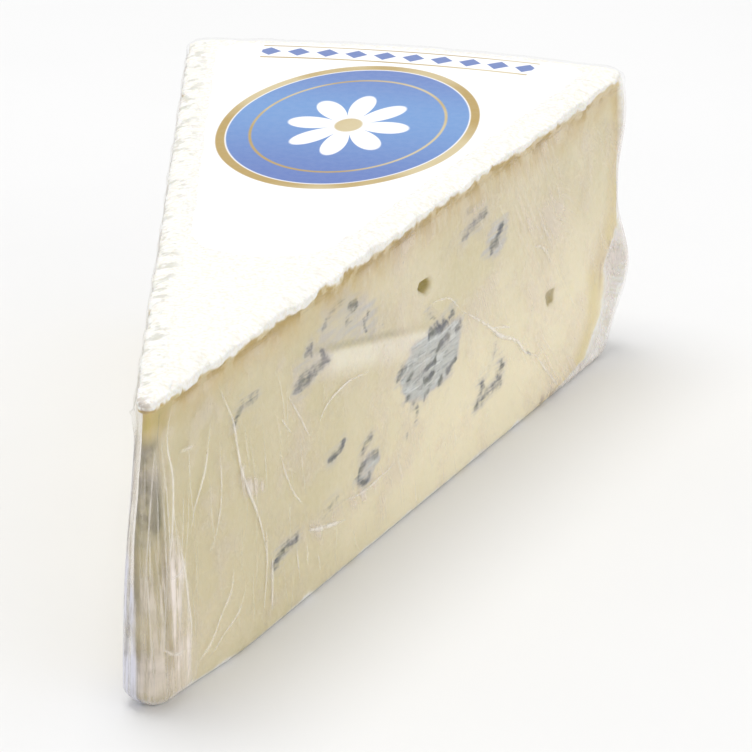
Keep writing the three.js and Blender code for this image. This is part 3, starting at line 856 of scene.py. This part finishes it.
def points_on_film(wall, run, height, out):
    """Points on the film at runs and heights of a wall. A run short of the cut face goes round the nose."""
    side = cut_foot(height)
    if wall == BACK:
        radius = WHEEL_RADIUS - shoulder(height)
        turn = run / WHEEL_RADIUS
        x, y, normal_x, normal_y = radius * np.sin(turn), radius * np.cos(turn), np.sin(turn), np.cos(turn)
    else:
        mirror = 1 if wall == RIGHT else -1
        radius, centre, start = nose_arc(height, side)
        turn = (math.pi / 2 - HALF_ANGLE) * np.clip(run / start, -1, 1)
        on_nose = run < start
        x = np.where(on_nose, radius * np.sin(turn), ALONG[0] * run - NORMAL[0] * side)
        y = np.where(on_nose, centre - radius * np.cos(turn), ALONG[1] * run - NORMAL[1] * side)
        normal_x = np.where(on_nose, np.sin(turn), NORMAL[0])
        normal_y = np.where(on_nose, -np.cos(turn), NORMAL[1])
        x, normal_x = mirror * x, mirror * normal_x
        run = np.maximum(run, start)
    zero = np.zeros_like(run)
    skin = {"x": x, "y": y, "normal_x": normal_x, "normal_y": normal_y, "run": run, "height": height}
    skin.update(wall=np.full(run.shape, wall), rim=zero, side=side, rind=smoothstep(height, 0, 2))
    skin = with_places(skin)
    return set_down(skin, film_surface(skin) + out, zero)


def make_creases():
    """Each crease is a slender fold of film, widest in its middle and drawn out to a point at its ends."""
    creases = [(RIGHT, half_width, strength, points) for half_width, strength, *points in CREASES]
    creases += fine_creases(23)
    across = np.array(CREASE_ACROSS)
    hill = 1 - across**2
    rise = hill**1.5
    section = len(across)
    taper = np.sqrt(np.sin(np.linspace(0.02, math.pi - 0.02, CREASE_POINTS)))
    all_points, all_faces, fold, places = [], [], [], []
    for wall, half_width, strength, points in creases:
        strength = CREASE_STRENGTH * strength
        line = smooth_line(points, CREASE_POINTS)
        ahead = np.gradient(line, axis=0)
        ahead /= np.linalg.norm(ahead, axis=1)[:, None] + 1e-9
        width = (half_width * taper)[:, None]
        run = line[:, :1] - ahead[:, 1:] * width * across
        height = line[:, 1:] + ahead[:, :1] * width * across
        start = len(all_points) * CREASE_POINTS * section
        out = CREASE_GAP + CREASE_RISE * width * rise
        all_points.append(points_on_film(wall, run, height, out).reshape(-1, 3))
        fold.append((strength * taper[:, None] * hill**2).reshape(-1))
        places.append(np.stack([run, height, np.full(run.shape, FACE_STEP * wall)], axis=2).reshape(-1, 3))
        for i in range(CREASE_POINTS - 1):
            for k in range(section - 1):
                a, b = start + i * section + k, start + i * section + k + 1
                all_faces.append((a, b, b + section, a + section))
    fields = {"fold": np.concatenate(fold), "place": np.concatenate(places)}
    return mesh_object("film_creases", np.concatenate(all_points), all_faces, fields)


# ---- The label ----
def make_label():
    """Thin paper whose edge the film has pressed flat: insets from its outline, and heights there."""
    profile = [(0.3, HEIGHT - 0.42), (0, HEIGHT - 0.38), (0.4, HEIGHT - 0.26), (1.1, HEIGHT - 0.08)]
    profile += [(1.9, HEIGHT + 0.1), (3, LABEL_TOP - 0.1), (4.2, LABEL_TOP - 0.04)]
    profile += [(inset, LABEL_TOP - 0.02) for inset in (5.4, 7, 9, 11, 13)]
    rings = []
    for inset, height in profile:
        ring = wedge_ring(
            LABEL_SIDE_INSET + inset,
            LABEL_BACK_INSET + inset,
            max(LABEL_NOSE_RADIUS - inset, LEAST_RADIUS),
            max(LABEL_CORNER_RADIUS - inset, LEAST_RADIUS),
            LABEL_STEPS,
        )
        place = np.column_stack([ring[:, :2], np.full(len(ring), height)])
        place[:, 2] += 0.015 * cloud(place, 14, 91, 2) * (inset > 1)
        rings.append(place)
    rings = np.array(rings)
    return closed_mesh("label_sheet", rings + np.array([*WHEEL_CENTRE, 0]), {"print": rings})


# ---- Materials ----
def linear(red, green, blue):
    """A colour given as the eye sees it, 0 to 255, in the shader's own scale."""
    shares = [c / 255 for c in (red, green, blue)]
    return tuple(s / 12.92 if s <= 0.04045 else ((s + 0.055) / 1.055) ** 2.4 for s in shares) + (1,)


class Shader:
    """A node material, with short ways to add and join its nodes."""

    def __init__(self, name):
        self.material = bpy.data.materials.new(name)
        self.material.use_nodes = True
        self.nodes = self.material.node_tree.nodes
        self.links = self.material.node_tree.links
        self.surface = self.nodes["Principled BSDF"]
        self.output = self.nodes["Material Output"]

    def put(self, socket, value):
        if isinstance(value, bpy.types.NodeSocket):
            self.links.new(value, socket)
        else:
            socket.default_value = value

    def set(self, **values):
        for name, value in values.items():
            self.put(self.surface.inputs[name.replace("_", " ")], value)

    def field(self, name, output="Fac"):
        node = self.nodes.new("ShaderNodeAttribute")
        node.attribute_name = name
        return node.outputs[output]

    def stretch(self, vector, scale):
        node = self.nodes.new("ShaderNodeMapping")
        self.put(node.inputs["Vector"], vector)
        node.inputs["Scale"].default_value = scale
        return node.outputs["Vector"]

    def noise(self, vector, scale, detail=4, roughness=0.55, distortion=0):
        node = self.nodes.new("ShaderNodeTexNoise")
        self.put(node.inputs["Vector"], vector)
        node.inputs["Scale"].default_value = scale
        node.inputs["Detail"].default_value = detail
        node.inputs["Roughness"].default_value = roughness
        node.inputs["Distortion"].default_value = distortion
        return node.outputs["Fac"]

    def math(self, operation, a, b=0.0, c=0.0, clamp=False):
        node = self.nodes.new("ShaderNodeMath")
        node.operation = operation
        node.use_clamp = clamp
        for socket, value in zip(node.inputs, (a, b, c)):
            self.put(socket, value)
        return node.outputs["Value"]

    def times(self, a, b):
        return self.math("MULTIPLY", a, b)

    def ramp(self, value, low, high, to_low=0.0, to_high=1.0):
        node = self.nodes.new("ShaderNodeMapRange")
        node.interpolation_type = "SMOOTHSTEP"
        given = {"Value": value, "From Min": low, "From Max": high, "To Min": to_low, "To Max": to_high}
        for name, setting in given.items():
            self.put(node.inputs[name], setting)
        return node.outputs["Result"]

    def mix(self, factor, a, b):
        node = self.nodes.new("ShaderNodeMix")
        node.data_type = "RGBA"
        sockets = [s for s in node.inputs if s.enabled]
        for socket, value in zip(sockets, (factor, a, b)):
            self.put(socket, value)
        return next(s for s in node.outputs if s.enabled)

    def tinted(self, base, field, share, colour):
        """The base with a colour over it wherever the field is, by a share that may be a noise."""
        return self.mix(self.times(self.field(field), share), base, linear(*colour))

    def stirred(self, base, noise, amount):
        """The base raised and lowered by a noise round its middle value."""
        return self.math("MULTIPLY_ADD", self.math("SUBTRACT", noise, 0.5), amount, base)

    def bump(self, height, strength, distance):
        node = self.nodes.new("ShaderNodeBump")
        node.inputs["Strength"].default_value = strength
        node.inputs["Distance"].default_value = distance
        self.put(node.inputs["Height"], height)
        return node.outputs["Normal"]


def cheese_material():
    s = Shader("cheese_skin")
    place, face = s.field("place", "Vector"), s.field("face", "Vector")
    rind, mould = s.field("rind"), s.field("mould")

    # Paste: slow drifts of warmer and cooler cream, a fine grain, the tints of its places, and painted light
    # and shade: lighter low down, darker at the nose and under its tip, and a shade line with a lit band
    # along the ledge
    drift = s.noise(place, 0.07, 3)
    grain = s.noise(place, 1.4, 5, 0.6)
    paste = s.mix(s.ramp(drift, 0.38, 0.62), linear(212, 200, 160), linear(222, 210, 176))
    paste = s.mix(s.ramp(grain, 0.35, 0.75, 0, 0.22), paste, linear(240, 231, 206))
    for field, share, colour in (
        # painted light low down on the cut faces
        ("pale", 0.9, (247, 236, 204)),
        # painted shade towards the nose
        ("near", 0.5, (196, 184, 142)),
        ("ripe", 0.6, (218, 198, 128)),
        # painted shadow under the rind's tip
        ("under_tip", 0.9, (180, 166, 84)),
        ("ledge_light", 0.65, (244, 238, 220)),
        ("ledge_shade", s.ramp(grain, 0.3, 0.6, 0.3, 0.75), (174, 168, 134)),
        # painted shade on the nose, in olive
        ("olive", s.ramp(s.noise(place, 0.35, 3), 0.35, 0.6, 0.45, 0.95), (112, 106, 74)),
    ):
        paste = s.tinted(paste, field, share, colour)

    # Mould: a soft grey bruise, in which paler and darker streaks break up along the cut
    bruise = s.field("bruise")
    streaks = s.noise(s.stretch(face, (0.16, 1.5, 1)), 1.0, 6, 0.6, 0.25)
    fine = s.noise(s.stretch(face, (0.3, 2.8, 1)), 1.0, 6, 0.66, 0.4)
    uneven = s.stirred(bruise, streaks, 1.3)
    core = s.times(s.ramp(uneven, 0.6, 0.9), s.ramp(bruise, 0.35, 0.6))
    grown = s.times(s.ramp(uneven, 0.08, 0.85, 0, 0.9), s.ramp(bruise, 0, 0.25))
    paste = s.mix(grown, paste, s.mix(core, linear(192, 188, 186), linear(186, 190, 188)))
    paste = s.mix(s.times(s.ramp(streaks, 0.5, 0.62, 0, 0.65), core), paste, linear(222, 225, 222))
    paste = s.mix(s.times(s.ramp(fine, 0.5, 0.36, 0, 0.75), core), paste, linear(122, 127, 126))
    broken = s.stirred(s.stirred(mould, fine, 1.9), s.noise(place, 0.9, 3), 1.2)
    dark = s.times(s.ramp(broken, 0.25, 1.15, 0, 0.95), s.ramp(mould, 0, 0.5))
    tint = s.mix(s.ramp(s.noise(place, 0.5, 2), 0.4, 0.6), linear(76, 80, 92), linear(86, 90, 80))
    paste = s.mix(dark, paste, tint)
    # olive in the hollows: partly the paste's own colour, partly painted shade
    paste = s.mix(s.ramp(s.field("hollow"), 0.1, 0.7), paste, linear(164, 146, 62))
    patches = s.noise(place, 0.3, 4)
    upright = s.noise(s.stretch(place, (1, 1, 0.3)), 0.8, 4)
    paste = s.tinted(paste, "tan", s.ramp(patches, 0.3, 0.6, 0.35, 0.9), (204, 180, 126))
    # painted shadow under the rim, broken into patches
    paste = s.tinted(paste, "under_rim", s.ramp(patches, 0.46, 0.54, 0, 0.95), (178, 150, 78))
    paste = s.tinted(paste, "edge", s.ramp(upright, 0.42, 0.58, 0, 0.8), (176, 148, 92))

    # Rind: white velvet with cream in its dips, a painted grey-green shade here and there along its top
    # edges, and brown spots
    fuzz = s.noise(place, 1.9, 6, 0.65)
    white = s.mix(s.ramp(fuzz, 0.35, 0.6), linear(240, 236, 224), linear(252, 251, 248))
    mottle = s.noise(place, 0.55, 5, 0.62)
    # painted shade along the top's edges, broken up in patches
    white = s.tinted(white, "grey", s.ramp(mottle, 0.5, 0.62, 0, 0.7), (200, 199, 186))
    white = s.tinted(white, "corner", s.ramp(mottle, 0.5, 0.66, 0, 0.4), (214, 204, 200))
    skin = s.mix(rind, paste, white)
    spots = s.math("MAXIMUM", s.field("tip"), s.field("stain"))
    spots = s.times(spots, s.ramp(s.noise(place, 1.1, 4), 0.47, 0.56, 0, 0.85))
    skin = s.mix(spots, skin, linear(140, 116, 98))
    relief = s.math("MULTIPLY_ADD", s.times(fuzz, rind), 1.6, grain)
    s.set(
        Base_Color=skin,
        Roughness=s.ramp(rind, 0, 1, 0.45, 0.9),
        Subsurface_Weight=0.15,
        Subsurface_Radius=(0.0035, 0.0024, 0.0012),
        Subsurface_Scale=1.0,
        Normal=s.bump(relief, 0.45, 0.0003),
    )
    return s.material


GLOSS_ROUGHNESS, MILK_ROUGHNESS = 0.2, 0.35
GLOSS_GRAZING, GLOSS_FACING = 0.2, 0.025  # what the film's gloss adds at its edge, and everywhere


def film_shader(s, milk, normal, tone, gloss_share):
    """Clear film: see-through with a gloss, and milky where it is folded or drawn."""
    clear = s.nodes.new("ShaderNodeBsdfTransparent")
    gloss = s.nodes.new("ShaderNodeBsdfGlossy")
    gloss.inputs["Roughness"].default_value = GLOSS_ROUGHNESS
    facing = s.nodes.new("ShaderNodeLayerWeight")
    gleam = s.math("POWER", facing.outputs["Facing"], 4.0)
    gleam = s.times(s.math("MULTIPLY_ADD", gleam, GLOSS_GRAZING, GLOSS_FACING), gloss_share)
    glossy = s.nodes.new("ShaderNodeMixShader")
    both = s.nodes.new("ShaderNodeMixShader")
    for node in (gloss, facing, s.surface):
        s.put(node.inputs["Normal"], normal)
    for mixer, parts in (
        (glossy, (gleam, clear.outputs[0], gloss.outputs[0])),
        (both, (milk, glossy.outputs[0], s.surface.outputs[0])),
    ):
        for socket, value in zip(mixer.inputs, parts):
            s.put(socket, value)
    s.put(s.output.inputs["Surface"], both.outputs[0])
    milky = s.mix(s.field("cool"), tone, linear(222, 222, 234))
    s.set(Base_Color=milky, Roughness=MILK_ROUGHNESS)
    return s.material


def film_material():
    s = Shader("clear_film")
    drawn_at, place = s.field("drawn", "Vector"), s.field("place", "Vector")
    drawn = s.noise(s.stretch(drawn_at, (0.8, 0.09, 0.8)), 1.0, 5, 0.6, 0.15)
    blotch = s.noise(place, 0.12, 5, 0.6)
    lines = s.ramp(s.math("ABSOLUTE", s.math("SUBTRACT", drawn, 0.5)), 0.0, 0.025, 1, 0)
    haze = s.times(s.field("milk"), s.ramp(drawn, 0.4, 0.6, 0.35, 1.6))
    hazy = s.times(s.ramp(blotch, 0.45, 0.68), s.field("wall_share"))
    haze = s.math("MULTIPLY_ADD", hazy, 0.26, haze)
    haze = s.math("MULTIPLY_ADD", s.times(lines, s.ramp(blotch, 0.4, 0.6)), 0.05, haze, clamp=True)
    normal = s.bump(s.math("MULTIPLY_ADD", blotch, 3.0, drawn), 0.15, 0.0004)
    return film_shader(s, haze, normal, linear(241, 230, 221), 1.0)


def crease_material():
    s = Shader("film_fold")
    patchy = s.noise(s.stretch(s.field("place", "Vector"), (0.8, 0.4, 1)), 1.0, 4)
    # The folds' milky white is partly the film's own whitening and partly a painted highlight along each
    # crease
    fold = s.math("MULTIPLY", s.field("fold"), s.ramp(patchy, 0.3, 0.6, 0.35, 1.0), clamp=True)
    return film_shader(s, fold, s.bump(patchy, 0.1, 0.0001), linear(252, 247, 240), s.ramp(fold, 0.05, 0.3))


MEDALLION = (0.1, 94.5)  # its middle, from the wheel's centre
MEDALLION_SIZE = (17.0, 26.0)  # half its width and half its length
PETALS = 8
LOZENGE_ROW = 122.8  # distance of the row of lozenges from the wheel's centre
LOZENGE_STEP = 4.0
ROW_HALF_LENGTH = 19.0


def label_material():
    """White paper with a generic print: an oval medallion with a rosette, and a row of lozenges."""
    s = Shader("label_paper")
    place = s.field("print", "Vector")
    split = s.nodes.new("ShaderNodeSeparateXYZ")
    s.put(split.inputs[0], place)
    x, y = split.outputs[0], split.outputs[1]

    def size(value):
        return s.math("ABSOLUTE", value)

    def length(a, b):
        return s.math("SQRT", s.math("ADD", s.times(a, a), s.times(b, b)))

    def band(value, low, high, soft):
        return s.times(s.ramp(value, low - soft, low + soft), s.ramp(value, high - soft, high + soft, 1, 0))

    across = s.math("DIVIDE", s.math("SUBTRACT", x, MEDALLION[0]), MEDALLION_SIZE[0])
    along = s.math("DIVIDE", s.math("SUBTRACT", y, MEDALLION[1]), MEDALLION_SIZE[1])
    middle = length(across, along)
    petal = size(s.math("COSINE", s.times(s.math("ARCTAN2", along, across), PETALS / 2)))
    petal_reach = s.math("MULTIPLY_ADD", s.math("POWER", petal, 0.7), 0.32, 0.13)
    rosette = s.ramp(s.math("SUBTRACT", petal_reach, middle), -0.012, 0.012)

    wheel = length(x, y)
    wheel_turn = s.times(s.math("ARCTAN2", x, y), float(WHEEL_RADIUS))
    row = size(s.math("SUBTRACT", wheel, LOZENGE_ROW))
    step = s.math("MODULO", s.math("ADD", wheel_turn, 50 * LOZENGE_STEP), LOZENGE_STEP)
    step = s.math("SUBTRACT", step, LOZENGE_STEP / 2)
    lozenge = s.math("ADD", s.math("DIVIDE", size(step), 1.6), s.math("DIVIDE", row, 1.7))
    in_row = s.ramp(size(wheel_turn), ROW_HALF_LENGTH, ROW_HALF_LENGTH + 0.2, 1, 0)
    rules = s.times(band(row, 2.3, 2.75, 0.06), in_row)
    lozenge = s.times(s.ramp(lozenge, 0.94, 1.04, 1, 0), in_row)

    sheen = s.noise(place, 0.05, 2)
    blue = s.mix(s.ramp(along, -0.9, 0.2), linear(90, 116, 182), linear(106, 148, 204))
    blue = s.mix(s.ramp(along, 0.2, 0.9), blue, linear(100, 126, 188))
    gold = s.mix(s.ramp(sheen, 0.42, 0.6), linear(178, 150, 84), linear(206, 190, 148))
    paper = s.mix(s.ramp(s.noise(place, 1.8, 5), 0.3, 0.7), linear(246, 246, 246), linear(252, 252, 253))
    for share, ink in (
        (s.ramp(middle, 0.85, 0.862, 1, 0), blue),
        (band(middle, 0.865, 0.93, 0.006), gold),
        (band(middle, 0.68, 0.70, 0.006), gold),
        (rosette, linear(246, 247, 250)),
        (s.ramp(middle, 0.09, 0.11, 1, 0), gold),
        (lozenge, linear(104, 126, 184)),
        (rules, gold),
    ):
        paper = s.mix(share, paper, ink)
    s.set(
        Base_Color=paper,
        Roughness=s.ramp(s.noise(place, 0.9, 4), 0.3, 0.7, 0.34, 0.46),
        Normal=s.bump(s.noise(place, 2.5, 5), 0.12, 0.0001),
    )
    return s.material


def floor_material():
    s = Shader("pale_floor")
    where = s.nodes.new("ShaderNodeTexCoord").outputs["Object"]
    tone = s.ramp(s.noise(where, 9, 3), 0.3, 0.7)
    s.set(Base_Color=s.mix(tone, (0.80, 0.80, 0.80, 1), (0.82, 0.82, 0.82, 1)), Roughness=0.85)
    return s.material


# ---- Pieces ----
def add_piece(piece, node, material):
    piece.data.materials.append(material)
    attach(piece, "root")
    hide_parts(node)


add_piece(make_cheese(), "wedge", cheese_material())
add_piece(make_film(), "wedge", film_material())
add_piece(make_creases(), "wedge", crease_material())
add_piece(make_label(), "label", label_material())

# ---- Floor, light and camera ----
FLOOR_HALF = 3000
FLOOR_DROP = 0.02


def make_floor():
    corners = [(-1, -1), (1, -1), (1, 1), (-1, 1)]
    points = np.array([(FLOOR_HALF * x, FLOOR_HALF * y, -FLOOR_DROP) for x, y in corners])
    floor = mesh_object("floor", points, [(0, 1, 2, 3)], {})
    floor.data.materials.append(floor_material())


def soft_lamp(name, place, aim, size, power):
    lamp = bpy.data.lights.new(name, "AREA")
    lamp.shape = "DISK"
    lamp.size = size
    lamp.energy = power
    thing = bpy.data.objects.new(name, lamp)
    thing.location = place
    thing.rotation_euler = (Vector(aim) - Vector(place)).to_track_quat("-Z", "Y").to_euler()
    bpy.context.scene.collection.objects.link(thing)


def light_the_scene():
    world = bpy.data.worlds.new("studio")
    world.use_nodes = True
    background = world.node_tree.nodes["Background"]
    background.inputs["Color"].default_value = (1.0, 1.0, 1.0, 1)
    background.inputs["Strength"].default_value = 0.75
    bpy.context.scene.world = world
    soft_lamp("over", (-0.15, 0.1, 0.9), (0, 0, 0.02), 0.6, 4.0)
    soft_lamp("side", (0.85, -0.5, 0.16), (0, 0, 0.02), 0.9, 2.3)


CAMERA_PLACE = (0.12686, -0.49298, 0.21874)
CAMERA_RIGHT = (0.97327, 0.22961, -0.00407)
CAMERA_UP = (-0.08125, 0.36086, 0.92907)
CAMERA_AHEAD = (-0.21479, 0.90391, -0.36987)
CAMERA_LENS = 218.4


def make_camera():
    camera = bpy.data.cameras.new("camera")
    camera.lens = CAMERA_LENS
    camera.sensor_width = 36
    camera.clip_start = 0.02
    camera.clip_end = 20
    thing = bpy.data.objects.new("camera", camera)
    axes = Matrix((CAMERA_RIGHT, CAMERA_UP, [-c for c in CAMERA_AHEAD])).transposed()
    thing.matrix_world = Matrix.Translation(CAMERA_PLACE) @ axes.to_4x4()
    bpy.context.scene.collection.objects.link(thing)
    bpy.context.scene.camera = thing


make_floor()
light_the_scene()
make_camera()
bpy.context.scene.view_settings.view_transform = "Standard"

bpy.context.view_layer.update()
